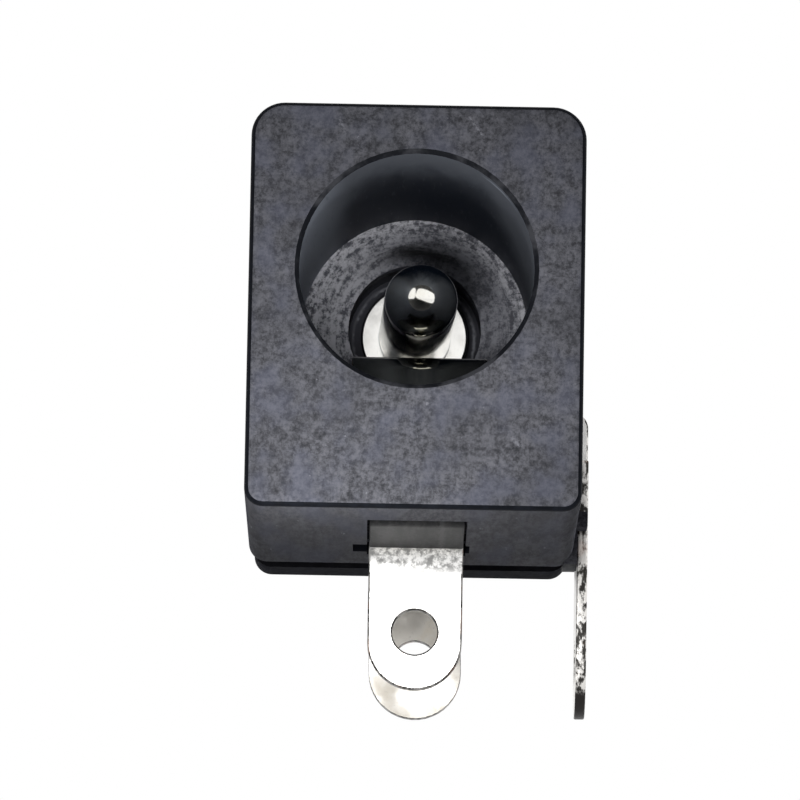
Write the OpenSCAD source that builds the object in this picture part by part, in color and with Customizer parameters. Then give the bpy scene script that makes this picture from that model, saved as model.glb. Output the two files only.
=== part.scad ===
// DC power jack for a 5.5 mm barrel plug: moulded housing with a rear cap, a riveted centre pin
// and three folded contacts, each ending in a solder lug with a wire hole.
// Frame: X to the right seen from the plug side, Y from the front face into the jack, Z up.
// The origin is under the middle of the front edge, on the plane of the circuit board.

/* [Housing] */
// Width of the front flange and of the body behind it
body_w = 9; // [8.8:0.1:9.4]
// Height of the front flange above the board
face_h = 11; // [10.8:0.1:12]
// Thickness of the front flange
flange_t = 3.5; // [3:0.1:4]
// Radius of the two upper corners of the flange
top_round = 0.9; // [0.5:0.1:1.5]
// Radius of the two lower edges, along the whole body
foot_round = 0.5; // [0.3:0.05:0.8]
// Radius of the rounded edge all round the front face
face_edge = 0.18; // [0.1:0.02:0.3]
// Depth at which the housing ends and the rear cap begins
housing_len = 10.2; // [10:0.1:10.3]
// Diameter of the half-round barrel behind the flange
barrel_d = 8; // [7.8:0.1:8.4]

/* [Plug socket] */
// Diameter of the socket
bore_d = 6.3; // [6.1:0.1:6.5]
// Height of the socket's axis above the board
bore_z = 6.5; // [6.4:0.1:6.8]
// Width of the bevel at the socket's mouth
lead_in = 0.12; // [0.1:0.02:0.3]
// Depth of the shoulder that stops the plug
bore_depth = 9; // [8.8:0.1:9.2]
// Diameter of the opening in the shoulder
shoulder_d = 3.7; // [3.4:0.1:3.8]

/* [Centre pin] */
// Diameter of the pin
pin_d = 2; // [1.6:0.1:2.1]
// Depth of the pin's round tip
pin_tip_y = 3.2; // [3:0.1:3.4]
// Diameter of the collar at the pin's root
collar_d = 3; // [2.6:0.1:3.2]
// Depth of the collar's front face
collar_y = 10; // [9.95:0.05:10.1]
// Thickness of the collar
collar_t = 0.5; // [0.4:0.05:0.6]
// Diameter of the shank that is pressed through the rear cap
shank_d = 1.4; // [1.2:0.1:1.6]
// Diameter of the riveted head on the back
rivet_d = 2.4; // [2:0.1:2.8]
// Height of the riveted head
rivet_h = 0.5; // [0.4:0.05:0.7]

/* [Rear cap] */
// Depth of the cap's back face
cap_end = 13.4; // [13.2:0.1:13.6]
// How far the cap's sides stay inside the housing's
cap_inset = 0.1; // [0.05:0.05:0.2]
// Depth at which the cap's rear plate begins
cap_plate_y = 12; // [11.6:0.1:12.2]
// Height of the rear plate's underside above the board
cap_lift = 0.25; // [0.1:0.01:0.3]
// Depth at which the housing's underside steps up
relief_y = 9.5; // [9.3:0.1:9.8]
// Height of the step above the board, from the housing to the cap's rear plate
relief_h = 0.4; // [0.3:0.05:0.5]
// Width of the groove between housing and cap
groove_w = 0.6; // [0.4:0.1:0.8]
// How far the cap's spigot stays inside the housing's outline
spigot_inset = 0.75; // [0.7:0.05:0.9]
// Length of the spigot inside the housing
spigot_len = 0.4; // [0.3:0.05:0.5]

/* [Contacts] */
// Thickness of the contact sheet
plate_t = 0.3; // [0.2:0.05:0.3]
// Width of a solder lug
lug_w = 2.6; // [2.4:0.1:2.6]
// How far the two middle lugs reach below the board plane
lug_drop = 3.8; // [3.4:0.1:4.2]
// How far the side lug reaches below the board plane
side_lug_drop = 4.1; // [3.6:0.1:4.4]
// Diameter of a lug's wire hole
hole_d = 1.24; // [1:0.02:1.3]
// Height of the wire hole's centre above the lug's tip
hole_up = 1.6; // [1.4:0.05:1.8]
// Depth of the front lug's middle plane
sleeve_lug_y = 7.7; // [7.6:0.05:7.8]
// Width of the spring leaf in the socket
leaf_w = 3.7; // [3.2:0.1:3.8]
// Sideways offset of the sleeve contact and of the chamber for its leaf
leaf_x = 0.14; // [0:0.01:0.2]
// Height of the spring leaf's crest above the board
leaf_top_z = 4.9; // [4.8:0.02:4.94]
// Diameter of the rear terminal's round head
terminal_head_d = 3.6; // [3:0.1:4.4]
// Angle by which the rear terminal is turned on its rivet
terminal_turn = 1.2; // [0:0.1:2]
// Depth of the side lug's middle
switch_y = 10.7; // [10.6:0.05:10.8]
// Gap between the housing's side and the switch contact
switch_gap = 0.12; // [0.08:0.02:0.2]

/* [Hidden] */
$fn = 96;
eps = 0.01;
beyond = 1;
// A straight run reaches this far back into the fold before it, so that the two are one solid
join = 0.0003;

half_w = body_w/2;
barrel_r = barrel_d/2;

// Openings in the housing's underside
strip_room = 0.05;
strip_recess = 0.04;
recess_h = plate_t + strip_recess;
slot_y = 6.25;
slot_end_y = 7.45;
slot_w = 3.2;
lug_room_end = sleeve_lug_y + plate_t/2 + strip_room;

// Chamber that the spring leaf moves in
chamber_w = 3.95;
chamber_y = 2.1;
chamber_floor = 0.9;
chamber_lap = 0.15;
chamber_top = bore_z - shoulder_d/2 + chamber_lap;
spigot_y = housing_len - spigot_len;
cap_y = housing_len + groove_w;
collar_end = collar_y + collar_t;
rivet_y = cap_end + plate_t;
rivet_ball_r = (pow(rivet_d/2, 2) + pow(rivet_h, 2))/(2*rivet_h);

// Sleeve contact: where its base strip lies and how its hairpin, crest and tail are bent.
// Radii are those of the sheet's middle plane. The crest follows the ramp's slope to the descent's.
strip_z = recess_h - plate_t/2;
lug_bend_r = 0.6 + plate_t/2;
// Straight stretch between the lug's outline and its fold
lug_run = 0.2;
hairpin_y = 3.5;
hairpin_r = 1.15;
ramp_angle = 60;
crest_r = 0.75;
fall_angle = 8;
tail_r = 1.5;
tail_z = 4.05;
tail_end_y = 11.6;

ramp_run = (leaf_top_z - plate_t/2 - strip_z - hairpin_r*(1 + cos(ramp_angle))
    - crest_r*(1 - cos(ramp_angle)))/sin(ramp_angle);
crest_y = hairpin_y + (crest_r - hairpin_r)*sin(ramp_angle) + ramp_run*cos(ramp_angle);
fall_run = (leaf_top_z - plate_t/2 - tail_z - (crest_r + tail_r)*(1 - cos(fall_angle)))/sin(fall_angle);
tail_y = crest_y + (crest_r + tail_r)*sin(fall_angle) + fall_run*cos(fall_angle);
base_run = sleeve_lug_y - lug_bend_r - hairpin_y;

// Switch contact: a plate along the right side with a finger folded in above the leaf's tail
switch_x = half_w + switch_gap + plate_t/2;
finger_w = 1.6;
finger_y = 11.1;
finger_z = tail_z + plate_t;
finger_bend_r = 0.15 + plate_t/2;
finger_end_x = -1.2;
neck_z = 3;

// Pocket in the cap for the leaf's tail and the finger
pocket_end = 12.3;
pocket_floor = 3.4;
finger_room = 0.1;
finger_slot_end = finger_y + finger_w/2 + finger_room;
finger_slot_top = finger_z + plate_t/2 + finger_room;

// Pads beside the switch contact, and the stop in front of it
pad_y = 9;
pad_top = 4.6;
pad_lap = 0.15;
stop_y = 8.6;
stop_z = [1, 1.42];
stop_out = switch_gap + plate_t - 0.04;

// Turns a flat outline drawn in X and Z, extruded upwards, into one that runs from depth y to y + t
module along_y(y, t) {
    translate([0, y + t, 0]) rotate([90, 0, 0]) linear_extrude(t) children();
}

// A round bar on the socket's axis
module axle(d, y, t) {
    translate([0, y + t, bore_z]) rotate([90, 0, 0]) cylinder(d = d, h = t);
}

// Quarter-round edge of a plate's front: [distance inside the outline, depth]
function edge_points(r) = [for (a = [0:22.5:90]) [r - r*sin(a), r - r*cos(a)]];

// Front flange, with rounded corners and a rounded edge all round its face
module flange() {
    edge = edge_points(face_edge);
    side = [for (p = edge) [half_w - p.x, p.y]];
    across = concat([for (p = edge) [-half_w + p.x, p.y]], [[-half_w, flange_t], [half_w, flange_t]],
        [for (i = [len(side) - 1:-1:0]) side[i]]);
    upright = concat([for (p = edge) [p.y, p.x]], [[flange_t, 0], [flange_t, face_h]],
        [for (i = [len(edge) - 1:-1:0]) [edge[i].y, face_h - edge[i].x]]);

    translate([0, 0, foot_round]) linear_extrude(face_h - top_round - foot_round) polygon(across);
    flange_rib(half_w - top_round, upright);
    intersection() {
        flange_rib(half_w - foot_round, upright);
        translate([-half_w, -beyond, 0]) cube([body_w, flange_t + 2*beyond, face_h/2]);
    }
    for (s = [-1, 1]) {
        flange_corner(s*(half_w - top_round), face_h - top_round, top_round, edge);
        flange_corner(s*(half_w - foot_round), foot_round, foot_round, edge);
    }
}

// Part of the flange between its corners, from its foot to its top
module flange_rib(half, outline) {
    translate([-half, 0, 0]) rotate([90, 0, 90]) linear_extrude(2*half) polygon(outline);
}

// Corner post of the flange, rounded at the front
module flange_corner(x, z, r, edge) {
    translate([x, 0, z]) rotate([-90, 0, 0])
        rotate_extrude()
            polygon(concat([[0, 0]], [for (p = edge) [r - p.x, p.y]], [[r, flange_t], [0, flange_t]]));
}

// Outline of the body behind the flange: a block with round lower edges under a half-round barrel
module body_outline(inset = 0, lift = 0) {
    w = body_w - 2*inset;
    translate([-w/2, foot_round + lift]) square([w, bore_z - inset - foot_round - lift]);
    translate([-w/2 + foot_round, lift]) square([w - 2*foot_round, foot_round + eps]);
    for (s = [-1, 1])
        translate([s*(w/2 - foot_round), foot_round + lift]) circle(foot_round);
    translate([0, bore_z]) circle(barrel_r - inset);
}

// Room for the sleeve contact: leaf chamber, hairpin window, underside recess and lug slot
module contact_room() {
    strip_room_w = lug_w + 2*strip_room;
    room(chamber_w, leaf_x, chamber_y, housing_len + beyond, chamber_floor, chamber_top);
    room(strip_room_w, leaf_x, chamber_y, hairpin_y, -beyond, chamber_floor + eps);
    room(strip_room_w, leaf_x, hairpin_y - eps, slot_y + eps, -beyond, recess_h);
    room(slot_w, 0, slot_y, slot_end_y, -beyond, chamber_floor + eps);
    room(strip_room_w, leaf_x, slot_end_y - eps, lug_room_end, -beyond, recess_h);
}

// Box of width w around x, from depth y to y_end and from height z to z_end
module room(w, x, y, y_end, z, z_end) {
    translate([x - w/2, y, z]) cube([w, y_end - y, z_end - z]);
}

// Pad that the switch contact lies against, on one stretch of the right side
module side_pad(y, y_end, z) {
    x = half_w - cap_inset - pad_lap;
    translate([x, y, z]) cube([half_w + switch_gap - x, y_end - y, pad_top - z]);
}

module housing() {
    color("dimgray") difference() {
        union() {
            flange();
            along_y(flange_t - eps, relief_y - flange_t + eps) body_outline();
            along_y(relief_y - eps, housing_len - relief_y + eps) body_outline(0, relief_h);
            side_pad(pad_y, housing_len, 0);
            translate([half_w - foot_round, stop_y, stop_z[0]])
                cube([foot_round + stop_out, switch_y - lug_w/2 - stop_y, stop_z[1] - stop_z[0]]);
        }
        axle(bore_d, -beyond, bore_depth + beyond);
        translate([0, lead_in, bore_z]) rotate([90, 0, 0])
            cylinder(d1 = bore_d, d2 = bore_d + 4*lead_in, h = 2*lead_in);
        axle(shoulder_d, bore_depth - beyond, housing_len);
        contact_room();
        along_y(spigot_y, spigot_len + beyond) body_outline(spigot_inset, spigot_inset);
    }
}

// Closes the housing's back, and holds the centre pin
module rear_cap() {
    color("dimgray") difference() {
        union() {
            along_y(spigot_y, cap_y + eps - spigot_y) body_outline(spigot_inset, spigot_inset);
            along_y(cap_y, cap_plate_y - cap_y + eps) body_outline(cap_inset, relief_h);
            along_y(cap_plate_y, cap_end - cap_plate_y) body_outline(cap_inset, cap_lift);
            side_pad(cap_y, switch_y + lug_w/2, cap_lift);
        }
        axle(shank_d, housing_len, cap_end);
        axle(shoulder_d, spigot_y - beyond, collar_end - spigot_y + beyond);
        room(chamber_w, leaf_x, spigot_y - beyond, pocket_end, pocket_floor, chamber_top);
        translate([0, housing_len, finger_z - finger_bend_r])
            cube([body_w, finger_slot_end - housing_len, finger_slot_top - finger_z + finger_bend_r]);
    }
}

// One turned piece: round tip, pin, collar, shank and riveted head
module center_pin() {
    color("silver") {
        translate([0, pin_tip_y + pin_d/2, bore_z]) sphere(d = pin_d);
        axle(pin_d, pin_tip_y + pin_d/2, collar_end - pin_tip_y - pin_d/2);
        axle(collar_d, collar_y, collar_t);
        axle(shank_d, collar_y, rivet_y + eps - collar_y);
        intersection() {
            axle(rivet_d, rivet_y, rivet_h);
            translate([0, rivet_y + rivet_h - rivet_ball_r, bore_z]) sphere(rivet_ball_r);
        }
    }
}

// Outline of a solder lug with its round tip at the bottom and its wire hole, up to height top
module lug_outline(w, drop, top) {
    difference() {
        union() {
            translate([-w/2, w/2 - drop]) square([w, top + drop - w/2]);
            translate([0, w/2 - drop]) circle(d = w);
        }
        translate([0, hole_up - drop]) circle(d = hole_d);
    }
}

// Straight plate behind the cap, held by the pin's riveted head
module center_terminal() {
    color("silver") along_y(cap_end, plate_t) translate([0, bore_z]) rotate(terminal_turn)
        difference() {
            union() {
                translate([0, -bore_z]) lug_outline(lug_w, lug_drop, bore_z);
                circle(d = terminal_head_d);
            }
            circle(d = shank_d);
        }
}

// Arc of sheet that starts along +Y and turns up, or down for a negative angle
module fold(angle, r, w) {
    mirror([0, 0, angle < 0 ? 1 : 0]) translate([0, 0, r]) rotate([0, 90, 0])
        rotate_extrude(angle = abs(angle)) translate([r - plate_t/2, -w/2]) square([plate_t, w]);
}

// Folded strip along +Y. Each step is [straight run, angle of the fold after it, fold radius, width]
module strip(steps, i = 0) {
    run = steps[i][0];
    angle = steps[i][1];
    r = steps[i][2];
    w = steps[i][3];
    translate([-w/2, -join, -plate_t/2]) cube([w, run + join, plate_t]);
    translate([0, run, 0]) {
        if (angle != 0) fold(angle, r, w);
        if (i + 1 < len(steps))
            translate([0, r*sin(abs(angle)), sign(angle)*r*(1 - cos(angle))]) rotate([angle, 0, 0])
                strip(steps, i + 1);
    }
}

// One folded sheet: lug, base strip under the housing, hairpin, and the spring leaf in the socket
module sleeve_contact() {
    lug_top = strip_z - lug_bend_r - lug_run;
    color("silver") translate([leaf_x, 0, 0]) {
        along_y(sleeve_lug_y - plate_t/2, plate_t)
            lug_outline(lug_w, lug_drop, lug_top);
        translate([0, sleeve_lug_y, lug_top]) rotate([90, 0, 0]) strip([
            [lug_run, 90, lug_bend_r, lug_w],
            [base_run, ramp_angle - 180, hairpin_r, lug_w],
            [ramp_run, -ramp_angle - fall_angle, crest_r, leaf_w],
            [fall_run, fall_angle, tail_r, leaf_w],
            [tail_end_y - tail_y, 0, 0, leaf_w],
        ]);
    }
}

// One folded sheet: side lug, plate along the housing and finger above the spring leaf's tail
module switch_contact() {
    color("silver") {
        translate([switch_x - plate_t/2, switch_y, 0]) rotate([90, 0, 90]) linear_extrude(plate_t)
            lug_outline(lug_w, side_lug_drop, neck_z);
        translate([switch_x, finger_y, neck_z]) rotate([90, 0, -90]) strip([
            [finger_z - finger_bend_r - neck_z, 90, finger_bend_r, finger_w],
            [switch_x - finger_bend_r - finger_end_x, 0, 0, finger_w],
        ]);
    }
}

housing();
rear_cap();
center_pin();
center_terminal();
sleeve_contact();
switch_contact();
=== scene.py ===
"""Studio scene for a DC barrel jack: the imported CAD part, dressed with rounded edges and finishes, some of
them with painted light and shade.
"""

import math

import bmesh
import bpy
from mathutils import Matrix, Vector


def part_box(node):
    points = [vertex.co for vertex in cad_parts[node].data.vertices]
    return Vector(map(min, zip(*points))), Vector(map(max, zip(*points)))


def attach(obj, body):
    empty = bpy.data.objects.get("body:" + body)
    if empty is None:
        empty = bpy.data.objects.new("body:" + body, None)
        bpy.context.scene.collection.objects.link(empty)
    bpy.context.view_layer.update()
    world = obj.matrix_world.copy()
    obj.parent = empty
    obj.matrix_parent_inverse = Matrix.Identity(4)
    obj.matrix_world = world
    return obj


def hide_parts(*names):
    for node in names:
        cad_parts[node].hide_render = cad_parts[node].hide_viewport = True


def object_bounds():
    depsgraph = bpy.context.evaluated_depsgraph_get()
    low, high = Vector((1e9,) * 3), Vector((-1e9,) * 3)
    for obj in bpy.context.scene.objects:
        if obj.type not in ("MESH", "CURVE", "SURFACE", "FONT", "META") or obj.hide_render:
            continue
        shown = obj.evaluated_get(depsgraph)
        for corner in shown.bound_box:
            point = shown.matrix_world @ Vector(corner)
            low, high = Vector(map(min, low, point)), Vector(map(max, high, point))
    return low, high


MM = 0.001
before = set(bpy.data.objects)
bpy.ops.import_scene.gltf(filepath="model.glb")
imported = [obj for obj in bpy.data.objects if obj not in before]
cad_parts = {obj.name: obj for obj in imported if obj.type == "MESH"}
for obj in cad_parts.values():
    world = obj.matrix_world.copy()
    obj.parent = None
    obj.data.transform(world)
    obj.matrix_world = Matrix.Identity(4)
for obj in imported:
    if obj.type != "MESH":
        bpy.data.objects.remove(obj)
cad_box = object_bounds()

# Sizes of the jack that its boxes don't give, in millimetres.
# Radii are those of the socket, of the opening in its shoulder, and of the pin and its collar.
BORE_R = 3.15
OPENING_R = 1.85
PIN_R = 1.0
COLLAR_R = 1.5
# Depths of the shoulder, of the step in the underside, of the collar's front and of the cap's rear plate
SOCKET_DEPTH = 9.0
RELIEF_Y = 9.5
COLLAR_Y = 10.0
CAP_PLATE_Y = 12.0
# Widths of the front face's rounded edge and of the bevel at the socket's mouth
FACE_EDGE = 0.18
LEAD_IN = 0.12
# Thickness of the collar, and half the body's width between its side pads
COLLAR_T = 0.5
BODY_HALF_W = 4.5
# Corners (x, y) of the slot for the front lug, in the underside
SLOT_NEAR = (-1.65, 6.2)
SLOT_FAR = (1.65, 7.95)
# Heights below which a face belongs to the underside, to the step in it and to its openings
UNDERSIDE_Z = 0.3
RELIEF_Z = 0.7
OPENINGS_Z = 1.0
# Height of the lower end of the lugs' folds
FOLD_Z = -0.56
# How far a face's middle may lie off the plane or cylinder that it belongs to
NEAR = 0.1
ROUND_NEAR = 0.02

# Marks in millimetres and radians: where plugs rub the socket's wall, where a pale streak along the strip
# under the housing is a painted reflection, and the pale strokes on the face, each with its start and end (x,
# z), half width and strength
RUB_ANGLE = 0.78
PAINTED_STREAK_X = 0.82
FACE_SCRATCHES = (
    ((1.34, 10.65), (1.69, 10.15), 0.05, 0.45),
    ((-2.15, 10.5), (-2.0, 10.2), 0.1, 0.3),
    ((-1.75, 2.15), (0.75, 2.13), 0.07, 0.07),
    ((-0.05, 3.1), (-0.1, 0.7), 0.09, 0.05),
    ((2.66, 1.92), (2.82, 1.74), 0.1, 0.45),
)
# How far the pin's tip leans off the socket's axis
PIN_LEAN = Vector((0.17, 0.0, -0.1))


def corners_mm(node):
    """Lowest and highest corner of a CAD node, in millimetres."""
    return [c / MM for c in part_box(node)]


PIN_LOW, PIN_HIGH = corners_mm("center_pin")
AXIS_Z = (PIN_LOW.z + PIN_HIGH.z) / 2
LEAF_X = sum(corner.x for corner in corners_mm("sleeve_contact")) / 2


# ---------------------------------------------------------------- camera


def make_camera():
    """Looks slightly up at the front, from below the board plane, through a long lens."""
    target = Vector((-0.390, 0.0, 2.908)) * MM
    distance = 203.45 * MM
    yaw, pitch, roll = (math.radians(a) for a in (0.109, 10.265, 1.018))
    forward = Vector((math.sin(yaw) * math.cos(pitch), math.cos(yaw) * math.cos(pitch), math.sin(pitch)))
    level = Vector((math.cos(yaw), -math.sin(yaw), 0.0))
    upright = level.cross(forward)
    right = math.cos(roll) * level + math.sin(roll) * upright
    up = math.cos(roll) * upright - math.sin(roll) * level
    data = bpy.data.cameras.new("camera")
    data.sensor_width = 36.0
    data.lens = 343.6
    data.clip_start, data.clip_end = 0.01, 10.0
    camera = bpy.data.objects.new("camera", data)
    camera.matrix_world = Matrix.Translation(target - distance * forward) @ Matrix(
        (right, up, -forward)
    ).transposed().to_4x4()
    bpy.context.scene.collection.objects.link(camera)
    bpy.context.scene.camera = camera


# ---------------------------------------------------------------- material helpers


class Shader:
    """A node material in the making. Lengths in it are millimetres of the object."""

    def __init__(self, name):
        self.material = bpy.data.materials.new(name)
        self.material.use_nodes = True
        self.tree = self.material.node_tree
        self.bsdf = self.tree.nodes["Principled BSDF"]
        coords = self.add("ShaderNodeTexCoord")
        self.point = self.vector("SCALE", coords.outputs["Object"], scale=1 / MM)
        self.normal = None

    def add(self, kind, **props):
        """A new node of the given kind, with its settings."""
        made = self.tree.nodes.new(kind)
        for key, value in props.items():
            setattr(made, key, value)
        return made

    def put(self, socket, value):
        """Links a socket, or sets its value where that is a plain number, colour or vector."""
        if isinstance(value, bpy.types.NodeSocket):
            self.tree.links.new(value, socket)
        else:
            socket.default_value = value

    def vector(self, operation, a, b=None, scale=None):
        """Result of a vector operation: a number for a length or dot product, else a vector."""
        made = self.add("ShaderNodeVectorMath", operation=operation)
        self.put(made.inputs[0], a)
        if b is not None:
            self.put(made.inputs[1], b)
        if scale is not None:
            self.put(made.inputs["Scale"], scale)
        return made.outputs["Value" if operation in ("LENGTH", "DOT_PRODUCT") else "Vector"]

    def math(self, operation, a, b=0.0, clamp=False):
        made = self.add("ShaderNodeMath", operation=operation, use_clamp=clamp)
        self.put(made.inputs[0], a)
        self.put(made.inputs[1], b)
        return made.outputs[0]

    def noise(self, scale, detail=2.0, roughness=0.5, at=None):
        """Noise around 0.5, with scale cells per millimetre."""
        made = self.add("ShaderNodeTexNoise")
        self.put(made.inputs["Vector"], at or self.point)
        made.inputs["Scale"].default_value = scale
        made.inputs["Detail"].default_value = detail
        made.inputs["Roughness"].default_value = roughness
        return made.outputs["Fac"]

    def ramp(self, value, low, high, out_low=0.0, out_high=1.0):
        """Smooth step from out_low, where the value is low, to out_high, where it is high."""
        made = self.add("ShaderNodeMapRange", interpolation_type="SMOOTHSTEP")
        self.put(made.inputs["Value"], value)
        for key, number in zip(("From Min", "From Max", "To Min", "To Max"), (low, high, out_low, out_high)):
            self.put(made.inputs[key], number)
        return made.outputs["Result"]

    def mix(self, share, a, b):
        """Colour a where share is 0, b where it is 1."""
        made = self.add("ShaderNodeMix", data_type="RGBA")
        self.put(made.inputs[0], share)
        for socket, value in ((made.inputs[6], a), (made.inputs[7], b)):
            self.put(socket, value if isinstance(value, bpy.types.NodeSocket) else (*value, 1.0))
        return made.outputs[2]

    def bump(self, height, depth_mm, strength=1.0):
        """Adds relief on top of the bumps so far, with depth_mm for a height of 1."""
        made = self.add("ShaderNodeBump")
        made.inputs["Strength"].default_value = strength
        made.inputs["Distance"].default_value = depth_mm * MM
        self.put(made.inputs["Height"], height)
        if self.normal:
            self.put(made.inputs["Normal"], self.normal)
        self.normal = made.outputs["Normal"]
        self.put(self.bsdf.inputs["Normal"], self.normal)

    def axes(self):
        """Position along x, y and z."""
        made = self.add("ShaderNodeSeparateXYZ")
        self.put(made.inputs[0], self.point)
        return made.outputs

    def from_socket(self):
        """Position across the socket's axis: to the right of it and above it."""
        x, _, z = self.axes()
        return x, self.math("SUBTRACT", z, AXIS_Z)

    def turn(self):
        """Angle round the socket's axis, from its top towards the right, in radians."""
        return self.math("ARCTAN2", *self.from_socket())

    def from_axis(self):
        """Distance from the socket's axis."""
        x, up = self.from_socket()
        return self.math("SQRT", self.math("ADD", self.math("MULTIPLY", x, x), self.math("MULTIPLY", up, up)))

    def band(self, value, middle, half_width):
        """1 at the middle value, falling softly to 0 at half_width on either side."""
        off = self.math("ABSOLUTE", self.math("SUBTRACT", value, middle))
        return self.ramp(off, half_width, 0.0)

    def stroke(self, start, end, half_width):
        """1 along a line on the front face, from one (x, z) to another, falling softly to 0 beside it."""
        near = Vector((start[0], 0.0, start[1]))
        run = Vector((end[0], 0.0, end[1])) - near
        flat = self.vector("MULTIPLY", self.point, (1.0, 0.0, 1.0))
        off = self.vector("SUBTRACT", flat, near)
        share = self.math("DIVIDE", self.vector("DOT_PRODUCT", off, run), run.length_squared, clamp=True)
        nearest = self.vector("SCALE", run, scale=share)
        away = self.vector("LENGTH", self.vector("SUBTRACT", off, nearest))
        return self.ramp(away, half_width, 0.0)

    def finish(self, colour, roughness, metallic=0.0, specular=0.5):
        """The finished material."""
        self.put(self.bsdf.inputs["Base Color"], colour)
        self.put(self.bsdf.inputs["Roughness"], roughness)
        self.bsdf.inputs["Metallic"].default_value = metallic
        self.bsdf.inputs["Specular IOR Level"].default_value = specular
        return self.material


def plastic(name, dark, light, bump=0.02, along=1.0, scratches=()):
    """Black moulded plastic: spark-eroded grain, blotches, slow clouds of tone and a few pale specks.

    The pattern is stretched along the jack where along is below 1. Scratches are pale strokes on the face.
    """
    s = Shader(name)
    s.point = s.vector("MULTIPLY", s.point, (1.0, along, 1.0))
    fine = s.noise(7.0, detail=5.0, roughness=0.8)
    blotch = s.noise(2.8, detail=4.0, roughness=0.65)
    clouds = s.noise(0.5, detail=2.0, roughness=0.5)
    tone = s.math("ADD", s.math("MULTIPLY", fine, 0.6), s.math("MULTIPLY", blotch, 0.4))
    colour = s.mix(s.ramp(tone, 0.38, 0.62), dark, light)
    colour = s.mix(s.ramp(clouds, 0.4, 0.7, 0.0, 0.35), colour, dark)
    cool = tuple(c * k for c, k in zip(light, (0.8, 0.84, 1.0)))
    colour = s.mix(s.ramp(s.noise(0.9, detail=2.0), 0.42, 0.7, 0.0, 0.45), colour, cool)
    specks = s.ramp(s.noise(4.5, detail=3.0, roughness=0.6), 0.68, 0.76, 0.0, 0.6)
    colour = s.mix(specks, colour, tuple(2.0 * c for c in light))
    for start, end, half_width, strength in scratches:
        stroke = s.math("MULTIPLY", s.stroke(start, end, half_width), s.ramp(fine, 0.4, 0.6, 0.0, strength))
        colour = s.mix(stroke, colour, tuple(2.4 * c for c in light))
    s.bump(fine, bump, 0.5)
    return s.finish(colour, s.ramp(fine, 0.35, 0.65, 0.83, 0.97), specular=0.03)


def polished(name, tone, specular=0.08):
    """The same plastic where the mould was polished, along its edges."""
    s = Shader(name)
    streaks = s.noise(3.0, detail=3.0, at=s.vector("MULTIPLY", s.point, (1.0, 0.25, 1.0)))
    colour = s.mix(s.ramp(streaks, 0.4, 0.65), tone, tuple(1.6 * c for c in tone))
    s.bump(streaks, 0.008, 0.4)
    return s.finish(colour, s.ramp(streaks, 0.35, 0.65, 0.45, 0.6), specular=specular)


def patchy(name, dark, light):
    """Plastic edge that plugs have rubbed here and there."""
    s = Shader(name)
    patches = s.noise(0.7, detail=4.0, roughness=0.6)
    colour = s.mix(s.ramp(patches, 0.46, 0.62), dark, light)
    s.bump(patches, 0.01, 0.5)
    return s.finish(colour, 0.6, specular=0.08)


def seat_plastic(name, dark, light, ring_r):
    """Plastic round the pin's collar, with a pale ring that is a painted highlight between the collar and the
    cap's opening.
    """
    s = Shader(name)
    wobble = s.noise(1.6, detail=3.0, roughness=0.6)
    radius = s.math("ADD", s.from_axis(), s.ramp(wobble, 0.3, 0.7, -0.04, 0.04))
    # Painted highlight: a pale ring round the collar.
    ring = s.math("MULTIPLY", s.band(radius, ring_r, 0.07), s.ramp(wobble, 0.4, 0.6, 0.2, 1.0))
    s.bump(wobble, 0.01, 0.5)
    return s.finish(s.mix(ring, dark, light), 0.6, specular=0.1)


def socket_plastic(name, worn_and_lit, shaded_deep, worn_and_lit_depth, shaded_depth):
    """The socket's wall: its colour pales towards the mouth and darkens further in, painted light and shade
    for the light that falls off into the socket. It is rubbed dull by plugs near its mouth and polished
    further in.
    """
    s = Shader(name)
    x, y, _ = s.axes()
    rubs = s.noise(1.4, detail=3.0, roughness=0.6, at=s.vector("MULTIPLY", s.point, (1.0, 0.45, 1.0)))
    # Painted light: the pale colour reaches further in on the sides of the wall.
    aside = s.math("ADD", s.ramp(x, -1.4, -2.8, 0.0, 6.0), s.ramp(x, 1.6, 3.0, 0.0, 3.5))
    depth = s.math("SUBTRACT", y, aside)
    depth = s.math("ADD", depth, s.ramp(rubs, 0.3, 0.7, -0.5, 0.5))
    # Painted shade: the colour darkens with depth into the socket.
    colour = s.mix(s.ramp(depth, worn_and_lit_depth, shaded_depth), worn_and_lit, shaded_deep)
    # Painted light: paler on the wall's left side.
    colour = s.mix(s.ramp(x, -1.7, -3.0, 0.0, 0.8), colour, tuple(3.2 * c for c in worn_and_lit))
    scratch = s.noise(9.0, detail=2.0, at=s.vector("MULTIPLY", s.point, (1.0, 0.12, 1.0)))
    colour = s.mix(s.ramp(scratch, 0.6, 0.75, 0.0, 0.35), colour, worn_and_lit)
    around = s.math("ADD", s.turn(), s.ramp(rubs, 0.3, 0.7, -0.05, 0.05))
    mark = s.math("MULTIPLY", s.band(around, RUB_ANGLE, 0.22), s.band(y, 0.42, 0.16))
    colour = s.mix(mark, colour, tuple(2.6 * c for c in worn_and_lit))
    s.bump(rubs, 0.004, 0.4)
    return s.finish(colour, s.ramp(depth, worn_and_lit_depth, shaded_depth, 0.7, 0.45), specular=0.1)


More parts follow.
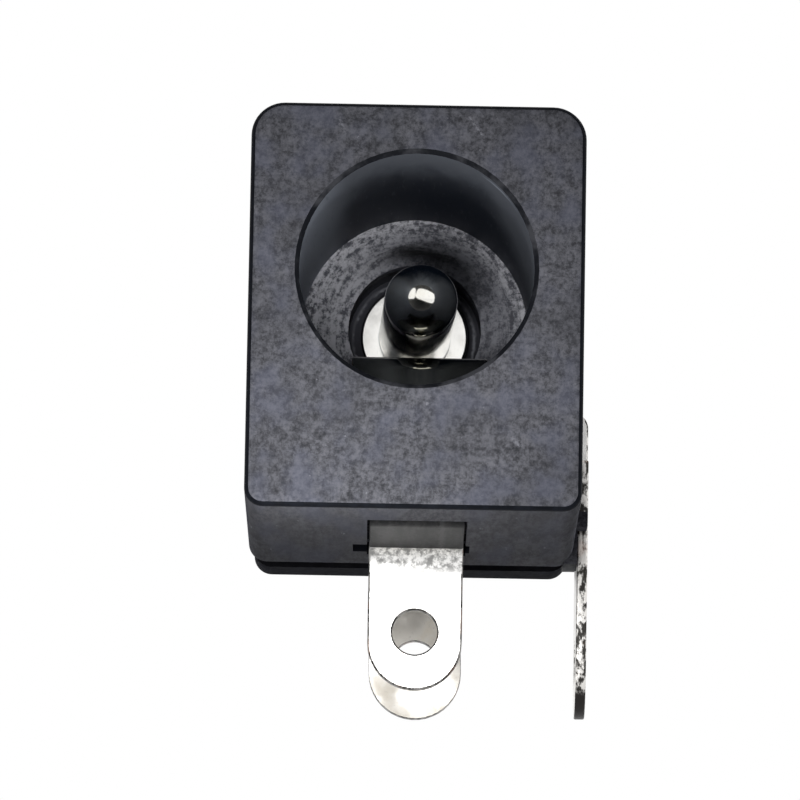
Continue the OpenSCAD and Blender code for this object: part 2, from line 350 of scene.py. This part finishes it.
def shoulder_plastic(name, dark, light, rim):
    """The socket's shoulder: turned marks round the axis, paler towards its rim, partly scuffs and partly a
    painted highlight on the edge, with a painted highlight on its left and a painted shadow of the pin above
    the opening.
    """
    s = Shader(name)
    angle, radius = s.turn(), s.from_axis()
    polar = s.add("ShaderNodeCombineXYZ")
    s.put(polar.inputs[0], s.math("MULTIPLY", radius, 3.2))
    s.put(polar.inputs[1], s.math("MULTIPLY", angle, 1.6))
    marks = s.noise(1.6, detail=4.0, roughness=0.7, at=polar.outputs[0])
    fine = s.noise(7.5, detail=4.0, roughness=0.75)
    tone = s.math("ADD", s.math("MULTIPLY", marks, 0.45), s.math("MULTIPLY", fine, 0.55))
    colour = s.mix(s.ramp(tone, 0.4, 0.6), dark, light)
    # Paler rim: scuffs and a painted highlight on the edge together.
    worn_and_lit = s.math("MULTIPLY", s.ramp(radius, 2.5, BORE_R - 0.05), s.ramp(tone, 0.44, 0.6))
    colour = s.mix(worn_and_lit, colour, rim)
    edge = s.math("ADD", radius, s.ramp(marks, 0.3, 0.7, -0.08, 0.08))
    # Painted highlight: paler on the left side of the shoulder.
    left = s.math("MULTIPLY", s.ramp(s.axes()[0], 0.2, -2.4, 0.0, 0.6), s.ramp(tone, 0.42, 0.56))
    colour = s.mix(left, colour, rim)
    # Painted shadow of the pin: a dark crescent on the shoulder above the opening.
    painted_pin_shadow = s.math("MULTIPLY", s.band(angle, 0.04, 0.95), s.band(edge, 2.24, 0.42))
    colour = s.mix(painted_pin_shadow, colour, tuple(0.1 * c for c in dark))
    s.bump(tone, 0.02, 0.6)
    return s.finish(colour, 0.7, specular=0.2)


def plated(name, colour, dull, rough, spangle=0.3, bump=0.004, scuffed_from=None, crown=None):
    """Bright plating: slow blotches of a duller tone and fine dark pits.

    Above the height scuffed_from, in millimetres, the plating is cracked and rubbed by folding.
    With crown, the sheet is slightly arched across its width, to that radius in millimetres.
    """
    s = Shader(name)
    blotch = s.noise(1.3, detail=4.0, roughness=0.6)
    pits = s.noise(13.0, detail=3.0, roughness=0.7)
    tone = s.mix(s.ramp(blotch, 0.45, 0.7, 0.0, spangle), colour, dull)
    tone = s.mix(s.ramp(pits, 0.6, 0.72, 0.0, 0.3), tone, tuple(0.5 * c for c in dull))
    if scuffed_from is not None:
        grit = s.noise(5.0, detail=3.0, roughness=0.7, at=s.vector("MULTIPLY", s.point, (1.0, 0.5, 1.0)))
        edge = s.math("ADD", s.axes()[2], s.ramp(grit, 0.3, 0.7, -0.12, 0.12))
        folded = s.ramp(edge, scuffed_from - 0.06, scuffed_from + 0.12)
        marks = s.math("MULTIPLY", folded, s.ramp(grit, 0.62, 0.38, 0.0, 0.85))
        tone = s.mix(marks, tone, (0.2, 0.2, 0.195))
    s.bump(s.math("ADD", blotch, s.math("MULTIPLY", pits, 0.35)), bump, 0.5)
    if crown:
        aside = s.math("SUBTRACT", s.axes()[0], LEAF_X)
        s.bump(s.math("MULTIPLY", s.math("MULTIPLY", aside, aside), -0.5 / crown), 1.0)
    return s.finish(tone, s.ramp(blotch, 0.3, 0.7, 0.75 * rough, 1.4 * rough), metallic=1.0)


def sheared(name, light, tip_z=None):
    """The bare, torn edge of punched sheet: blotches of bright and dark metal, coppery here and there.

    Below the height tip_z, in millimetres, the edge is dark all over.
    """
    s = Shader(name)
    grit = s.noise(4.0, detail=4.0, roughness=0.7, at=s.vector("MULTIPLY", s.point, (1.4, 1.0, 0.7)))
    warm = s.noise(1.2, detail=2.0)
    colour = s.mix(s.ramp(grit, 0.43, 0.55), (0.04, 0.038, 0.035), light)
    colour = s.mix(s.ramp(warm, 0.55, 0.66, 0.0, 0.3), colour, (0.42, 0.25, 0.18))
    if tip_z is not None:
        colour = s.mix(s.ramp(s.axes()[2], tip_z + 0.25, tip_z), colour, (0.03, 0.028, 0.027))
    s.bump(grit, 0.02, 0.7)
    return s.finish(colour, 0.4, metallic=1.0)


def dark_strip(name, dark, light):
    """Very dark contact strip, with streaks along its length from the press tool, and a pale band along it
    that is a painted reflection.
    """
    s = Shader(name)
    streaks = s.noise(3.4, detail=3.0, roughness=0.6, at=s.vector("MULTIPLY", s.point, (1.0, 0.1, 1.0)))
    fine = s.noise(10.0, detail=3.0, roughness=0.7, at=s.vector("MULTIPLY", s.point, (1.0, 0.4, 1.0)))
    tone = s.math("ADD", s.math("MULTIPLY", streaks, 0.6), s.math("MULTIPLY", fine, 0.4))
    colour = s.mix(s.ramp(tone, 0.42, 0.62), dark, light)
    # Painted reflection: a pale streak along the strip.
    scratch = s.band(s.math("ADD", s.axes()[0], s.ramp(fine, 0.3, 0.7, -0.05, 0.05)), PAINTED_STREAK_X, 0.14)
    s.bump(tone, 0.006, 0.5)
    return s.finish(s.mix(scratch, colour, tuple(1.8 * c for c in light)), 0.5, specular=0.06)


# ---------------------------------------------------------------- pieces


def rounded(node, radius):
    """A new mesh in millimetres from a CAD node: flat faces merged and sharp edges rounded.

    Faces made by the rounding have material index 1.
    """
    bm = bmesh.new()
    bm.from_mesh(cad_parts[node].data)
    bmesh.ops.scale(bm, vec=Vector((1 / MM,) * 3), verts=bm.verts)
    bmesh.ops.remove_doubles(bm, verts=bm.verts, dist=1e-4)
    flat, sharp = math.radians(0.6), math.radians(30)
    bmesh.ops.dissolve_limit(bm, angle_limit=flat, verts=bm.verts, edges=bm.edges)
    bm.normal_update()
    edges = [e for e in bm.edges if len(e.link_faces) == 2 and e.calc_face_angle() > sharp]
    made = bmesh.ops.bevel(
        bm, geom=edges, offset=radius, offset_type="OFFSET", segments=3, profile=0.5,
        affect="EDGES", clamp_overlap=True, harden_normals=False,
    )
    bm.normal_update()
    for face in bm.faces:
        face.material_index = 0
    for face in made["faces"]:
        face.material_index = 1
    return bm


def piece_from(bm, name, node, materials):
    """Turns a millimetre bmesh into a smooth piece that stands for a CAD node. Its large faces stay flat."""
    bmesh.ops.scale(bm, vec=Vector((MM,) * 3), verts=bm.verts)
    mesh = bpy.data.meshes.new(name)
    bm.to_mesh(mesh)
    bm.free()
    for material in materials:
        mesh.materials.append(material)
    for polygon in mesh.polygons:
        polygon.use_smooth = True
    piece = bpy.data.objects.new(name, mesh)
    bpy.context.scene.collection.objects.link(piece)
    normals = piece.modifiers.new("normals", "WEIGHTED_NORMAL")
    normals.weight = 100
    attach(piece, "root")
    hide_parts(node)
    return piece


def from_axis(point):
    """Distance of a point from the socket's axis, in millimetres."""
    return math.hypot(point.x, point.z - AXIS_Z)


def make_housing():
    """Textured outside, dark polished edges, painted shade in the slot and in the step underneath, a rubbed
    socket wall and a scuffed shoulder, both with painted light and shade.

    A face's place and the way it looks tell which finish it has.
    """
    bm = rounded("housing", radius=0.06)
    edge, wall, shoulder, rim, underside = range(1, 6)
    for face in bm.faces:
        centre, normal = face.calc_center_median(), face.normal
        in_socket = from_axis(centre) < BORE_R + ROUND_NEAR and centre.z > OPENINGS_Z
        at_mouth = from_axis(centre) < BORE_R + 2 * LEAD_IN
        in_slot = SLOT_NEAR[0] < centre.x < SLOT_FAR[0] and SLOT_NEAR[1] < centre.y < SLOT_FAR[1]
        in_relief = centre.y > RELIEF_Y - NEAR and centre.z < RELIEF_Z
        if in_socket and abs(centre.y - SOCKET_DEPTH) < NEAR and normal.y < -0.9:
            face.material_index = shoulder
        elif in_socket and LEAD_IN < centre.y < SOCKET_DEPTH and abs(normal.y) < 0.5:
            face.material_index = wall
        elif centre.y < FACE_EDGE and normal.y > -0.97:
            face.material_index = rim if at_mouth else edge
        # Painted shade: faces of the step underneath and the slot's walls get the near-black edge plastic.
        elif centre.z < OPENINGS_Z and (in_relief or (in_slot and normal.z > -0.9)):
            face.material_index = edge
        elif normal.z < -0.5 and centre.z < UNDERSIDE_Z:
            face.material_index = underside
    piece_from(bm, "housing_shell", "housing", [
        plastic("housing_grain", (0.05, 0.051, 0.057), (0.185, 0.187, 0.21), scratches=FACE_SCRATCHES),
        polished("housing_edge_recess_shade", (0.007, 0.008, 0.011), specular=0.04),
        socket_plastic(
            "socket_wall", (0.11, 0.12, 0.14), (0.0065, 0.011, 0.022), worn_and_lit_depth=0.5, shaded_depth=4.8,
        ),
        shoulder_plastic("shoulder_scuffed_painted_light", (0.12, 0.123, 0.145), (0.38, 0.385, 0.43), (0.75, 0.75, 0.8)),
        patchy("mouth_rim", (0.008, 0.009, 0.012), (0.06, 0.062, 0.07)),
        plastic("housing_underside", (0.092, 0.093, 0.101), (0.178, 0.18, 0.197), bump=0.01, along=0.22),
    ])


def make_cap():
    """Plastic coloured darker than the housing's, with painted shade in the step under it, and paler round
    the pin's collar with a painted highlight in a ring there.
    """
    bm = rounded("rear_cap", radius=0.08)
    edge, seat = 1, 2
    for face in bm.faces:
        centre = face.calc_center_median()
        # Painted shade: the faces in the step under the cap get the near-black edge plastic.
        if centre.y < CAP_PLATE_Y + NEAR / 2 and centre.z < RELIEF_Z:
            face.material_index = edge
        elif centre.y < COLLAR_Y + COLLAR_T + NEAR and from_axis(centre) < OPENING_R + ROUND_NEAR:
            face.material_index = seat
    piece_from(bm, "cap_shell", "rear_cap", [
        plastic("cap_grain", (0.012, 0.0125, 0.015), (0.04, 0.041, 0.048), bump=0.012),
        polished("cap_edge_step_shade", (0.006, 0.006, 0.008)),
        seat_plastic("cap_seat", (0.06, 0.062, 0.075), (0.36, 0.37, 0.41), ring_r=1.7),
    ])


def turned(profile, turns=96):
    """Surface of revolution round the socket's axis, from (radius, depth) points in millimetres."""
    bm = bmesh.new()
    rings = []
    for radius, depth in profile:
        if radius < 1e-6:
            rings.append([bm.verts.new((0.0, depth, AXIS_Z))])
        else:
            rings.append([
                bm.verts.new((radius * math.sin(a), depth, AXIS_Z + radius * math.cos(a)))
                for a in (2 * math.pi * i / turns for i in range(turns))
            ])
    for near, far in zip(rings, rings[1:]):
        for i in range(turns):
            j = (i + 1) % turns
            corners = [near[i % len(near)], far[i % len(far)], far[j % len(far)], near[j % len(near)]]
            bm.faces.new(list(dict.fromkeys(corners)))
    bmesh.ops.recalc_face_normals(bm, faces=bm.faces)
    return bm


def arc(centre, radius, start, end, steps):
    """Points of an arc in (radius, depth), angles in degrees from the radial direction to the depth."""
    angles = (math.radians(start + (end - start) * i / steps) for i in range(steps + 1))
    return [(centre[0] + radius * math.cos(a), centre[1] + radius * math.sin(a)) for a in angles]


def shaft_profile(tip):
    """Round tip and straight shaft, with a shallow groove just before the collar."""
    groove = 0.05
    points = arc((0.0, tip + PIN_R), PIN_R, -90, 0, 16)
    points += [(PIN_R, COLLAR_Y - y) for y in (5.2, 0.3, 0.13)]
    points += [(PIN_R - groove, COLLAR_Y - y) for y in (0.1, 0.05, 0.02)]
    return points + [(PIN_R - 0.02, COLLAR_Y)]


def collar_profile():
    """Flat collar with rounded edges."""
    edge = 0.06
    rim, back = COLLAR_R - edge, COLLAR_Y + COLLAR_T
    points = [(r, COLLAR_Y) for r in (PIN_R + 0.01, 1.2, rim - 0.01)]
    points += arc((rim, COLLAR_Y + edge), edge, -90, 0, 4)
    points += arc((rim, back - edge), edge, 0, 90, 4)
    return points + [(rim - 0.01, back)]


def head_profile(plate, end):
    """Rolled head behind the terminal's plate, crowned and with a dimple in its middle."""
    points = [(1.17, plate), (1.2, plate + 0.05), (1.14, plate + 0.17), (1.0, plate + 0.28)]
    points += [(0.8, plate + 0.39), (0.62, plate + 0.45), (0.5, end - 0.03), (0.42, end - 0.05)]
    return points + [(0.3, end - 0.1), (0.15, end - 0.14), (0.0, end - 0.15)]


def make_pin():
    """Turned pin with its collar and rolled head, leaning a little off the socket's axis."""
    shank_r = 0.7
    tip, end = PIN_LOW.y, PIN_HIGH.y
    plate = corners_mm("center_terminal")[1].y
    shank = [(shank_r, COLLAR_Y + COLLAR_T), (shank_r, plate)]
    bm = turned(shaft_profile(tip) + collar_profile() + shank + head_profile(plate, end))
    for vert in bm.verts:
        vert.co += max(0.0, (COLLAR_Y - vert.co.y) / (COLLAR_Y - tip)) * PIN_LEAN
    for face in bm.faces:
        face.material_index = int(face.calc_center_median().y > COLLAR_Y - 0.01)
    return piece_from(bm, "pin_turned", "center_pin", [
        plated("pin_nickel", (0.96, 0.95, 0.9), (0.85, 0.82, 0.73), rough=0.08, spangle=0.6, bump=0.0012),
        plated("collar_nickel", (0.99, 0.98, 0.95), (0.93, 0.91, 0.86), rough=0.15, spangle=0.5, bump=0.001),
    ])


def make_sheet(node, name, materials, region):
    """A folded sheet part. region(centre, normal, bevel) gives the material index of a face."""
    bm = rounded(node, radius=0.05)
    for face in bm.faces:
        face.material_index = region(face.calc_center_median(), face.normal, face.material_index == 1)
    piece_from(bm, name, node, materials)


def make_contacts():
    """Bright lugs with bare sheared edges. The spring inside the jack is smoother, and its colour is darkened
    as painted shade for the socket it sits in.
    """
    tin = plated("lug_tin", (0.97, 0.96, 0.94), (0.85, 0.84, 0.81), rough=0.36, scuffed_from=FOLD_Z)
    rear_tin = plated("rear_lug_tin", (0.97, 0.935, 0.87), (0.86, 0.8, 0.69), rough=0.42, spangle=0.6)
    # Painted shade: the spring's plating is coloured far darker than the pin's.
    spring = plated("spring_nickel_shaded", (0.45, 0.44, 0.38), (0.3, 0.29, 0.25), rough=0.07, bump=0.001, crown=2.5)
    blade = plated("blade_tin", (0.97, 0.96, 0.94), (0.85, 0.84, 0.81), rough=0.36, spangle=0.6)
    edge = sheared("sheared_edge", (0.3, 0.29, 0.28))
    blade_edge = sheared("blade_edge", (0.8, 0.78, 0.75), tip_z=-3.6)
    strip = dark_strip("strip_dark", (0.008, 0.0085, 0.0095), (0.03, 0.03, 0.031))

    on_face, on_edge, on_spring, on_strip = range(4)
    strip_end_y, fold_start_y = 6.5, 6.3

    def sleeve(centre, normal, bevel):
        on_lug = centre.z < FOLD_Z
        if centre.y < strip_end_y and centre.z < UNDERSIDE_Z:
            return on_strip
        if abs(normal.x) > 0.6 or (on_lug and (bevel or abs(normal.y) < 0.5)):
            return on_edge
        in_fold = centre.y > fold_start_y and centre.z < UNDERSIDE_Z + NEAR / 2
        return on_face if on_lug or in_fold else on_spring

    def terminal(centre, normal, bevel):
        return on_edge if bevel or abs(normal.y) < 0.5 else on_face

    def switch(centre, normal, bevel):
        return on_edge if abs(normal.x) < 0.9 and centre.x > BODY_HALF_W else on_face

    make_sheet("sleeve_contact", "sleeve_spring", [tin, edge, spring, strip], sleeve)
    make_sheet("center_terminal", "pin_terminal", [rear_tin, edge], terminal)
    make_sheet("switch_contact", "switch_blade", [blade, blade_edge], switch)


# ---------------------------------------------------------------- studio


def seen_rays(tree):
    """1 for what the camera sees, directly, mirrored or through something clear, and 0 for soft light."""
    path = tree.nodes.new("ShaderNodeLightPath")
    share = path.outputs["Is Camera Ray"]
    for ray in ("Is Glossy Ray", "Is Transmission Ray"):
        either = tree.nodes.new("ShaderNodeMath")
        either.operation = "MAXIMUM"
        tree.links.new(share, either.inputs[0])
        tree.links.new(path.outputs[ray], either.inputs[1])
        share = either.outputs[0]
    return share


def make_world():
    """White to the camera and in reflections. Other light from it is soft and grey."""
    soft, seen = (0.16, 0.16, 0.17, 1), (1, 1, 1, 1)
    world = bpy.data.worlds.new("studio")
    bpy.context.scene.world = world
    world.use_nodes = True
    tree = world.node_tree
    tree.nodes.clear()
    mix = tree.nodes.new("ShaderNodeMixShader")
    tree.links.new(seen_rays(tree), mix.inputs[0])
    for socket, colour in ((1, soft), (2, seen)):
        light = tree.nodes.new("ShaderNodeBackground")
        light.inputs["Color"].default_value = colour
        tree.links.new(light.outputs[0], mix.inputs[socket])
    out = tree.nodes.new("ShaderNodeOutputWorld")
    tree.links.new(mix.outputs[0], out.inputs[0])


def lamp(name, place_mm, aim_mm, width_mm, level, mirrored=True):
    """A square soft lamp that lights a surface facing it at aim_mm to the given level.

    Without mirrored, it lights matt surfaces alone and leaves no glare on metal.
    """
    data = bpy.data.lights.new(name, "AREA")
    data.size = width_mm * MM
    place, aim = Vector(place_mm) * MM, Vector(aim_mm) * MM
    gap = (aim - place).length
    data.energy = level * math.pi * math.pi * gap * gap
    made = bpy.data.objects.new(name, data)
    made.location = place
    made.rotation_mode = "QUATERNION"
    made.rotation_quaternion = (aim - place).to_track_quat("-Z", "Y")
    made.visible_camera = False
    made.visible_glossy = mirrored
    bpy.context.scene.collection.objects.link(made)
    return made


def make_lamps(pin):
    """A small key lamp close to the front, one below on the left, and two for the sides and back.

    The key leaves out the pin, which shows the soft reflections of the room alone.
    """
    key = lamp("key", (-2, -14, 1), (0, 0, 5), 4, 0.8)
    unlit = bpy.data.collections.new("unlit_by_key")
    unlit.objects.link(pin)
    unlit.collection_objects[0].light_linking.link_state = "EXCLUDE"
    key.light_linking.receiver_collection = unlit
    lamp("low_left", (-3, -3.6, -6), (-2, 0.5, 0), 2, 0.68)
    lamp("back_left", (-180, 200, 120), (0, 8, 4), 160, 0.42, mirrored=False)
    lamp("back_right", (220, 120, 160), (0, 8, 4), 160, 0.42, mirrored=False)


def in_opening(point, x, z, half_width, half_height, tilt):
    """Whether a point of the card lies in the rounded opening round (x, z), turned by tilt in radians."""
    right, up = point.x - x, point.z - z
    across = (right * math.cos(tilt) + up * math.sin(tilt)) / half_width
    along = (up * math.cos(tilt) - right * math.sin(tilt)) / half_height
    return across ** 4 + along ** 4 < 1


def make_flags():
    """Dark card before the socket, seen only in mirror images, with two openings for highlights."""
    depth, reach, cells = -3, 6.4, 80
    openings = [(-4.4, 8.6, 1.95, 2.5, 0.0), (1.9, 7.4, 4.2, 2.3, math.radians(-18))]
    bm = bmesh.new()
    bmesh.ops.create_grid(bm, x_segments=cells, y_segments=cells, size=reach)
    bmesh.ops.rotate(bm, verts=bm.verts, matrix=Matrix.Rotation(math.pi / 2, 3, "X"))
    bmesh.ops.translate(bm, verts=bm.verts, vec=(0, depth, AXIS_Z))
    opened = [f for f in bm.faces if any(in_opening(f.calc_center_median(), *o) for o in openings)]
    bmesh.ops.delete(bm, geom=opened, context="FACES")
    bmesh.ops.scale(bm, vec=Vector((MM,) * 3), verts=bm.verts)
    mesh = bpy.data.meshes.new("flags")
    bm.to_mesh(mesh)
    bm.free()
    flags = bpy.data.objects.new("flags", mesh)
    for ray in ("camera", "diffuse", "shadow", "transmission"):
        setattr(flags, "visible_" + ray, False)
    bpy.context.scene.collection.objects.link(flags)
    material = bpy.data.materials.new("flag_black")
    material.use_nodes = True
    material.node_tree.nodes["Principled BSDF"].inputs["Base Color"].default_value = (0.01, 0.01, 0.01, 1)
    mesh.materials.append(material)


def floor_material():
    """Matt grey that is lifted to white where it is seen, and clear from below."""
    grey, lift_strength = (0.32, 0.32, 0.32, 1), 0.75
    material = bpy.data.materials.new("floor_white")
    material.use_nodes = True
    tree = material.node_tree
    tree.nodes.clear()
    matt = tree.nodes.new("ShaderNodeBsdfDiffuse")
    matt.inputs["Color"].default_value = grey
    lift = tree.nodes.new("ShaderNodeEmission")
    strength = tree.nodes.new("ShaderNodeMath")
    strength.operation = "MULTIPLY"
    strength.inputs[1].default_value = lift_strength
    tree.links.new(seen_rays(tree), strength.inputs[0])
    tree.links.new(strength.outputs[0], lift.inputs["Strength"])
    lit = tree.nodes.new("ShaderNodeAddShader")
    tree.links.new(matt.outputs[0], lit.inputs[0])
    tree.links.new(lift.outputs[0], lit.inputs[1])
    facing = tree.nodes.new("ShaderNodeNewGeometry")
    clear = tree.nodes.new("ShaderNodeBsdfTransparent")
    mix = tree.nodes.new("ShaderNodeMixShader")
    tree.links.new(facing.outputs["Backfacing"], mix.inputs[0])
    tree.links.new(lit.outputs[0], mix.inputs[1])
    tree.links.new(clear.outputs[0], mix.inputs[2])
    out = tree.nodes.new("ShaderNodeOutputMaterial")
    tree.links.new(mix.outputs[0], out.inputs[0])
    return material


def make_floor():
    """Round floor just under the lugs. It holds the jack's shadow and casts none itself."""
    gap = 0.1 * MM
    bm = bmesh.new()
    bmesh.ops.create_circle(bm, cap_ends=True, radius=0.6, segments=64)
    mesh = bpy.data.meshes.new("floor")
    bm.to_mesh(mesh)
    bm.free()
    floor = bpy.data.objects.new("floor", mesh)
    floor.location.z = cad_box[0].z - gap
    floor.visible_shadow = False
    bpy.context.scene.collection.objects.link(floor)
    mesh.materials.append(floor_material())


make_camera()
make_world()
make_floor()
make_flags()
make_housing()
make_cap()
pin = make_pin()
make_contacts()
make_lamps(pin)

bpy.context.scene.view_settings.view_transform = "Standard"
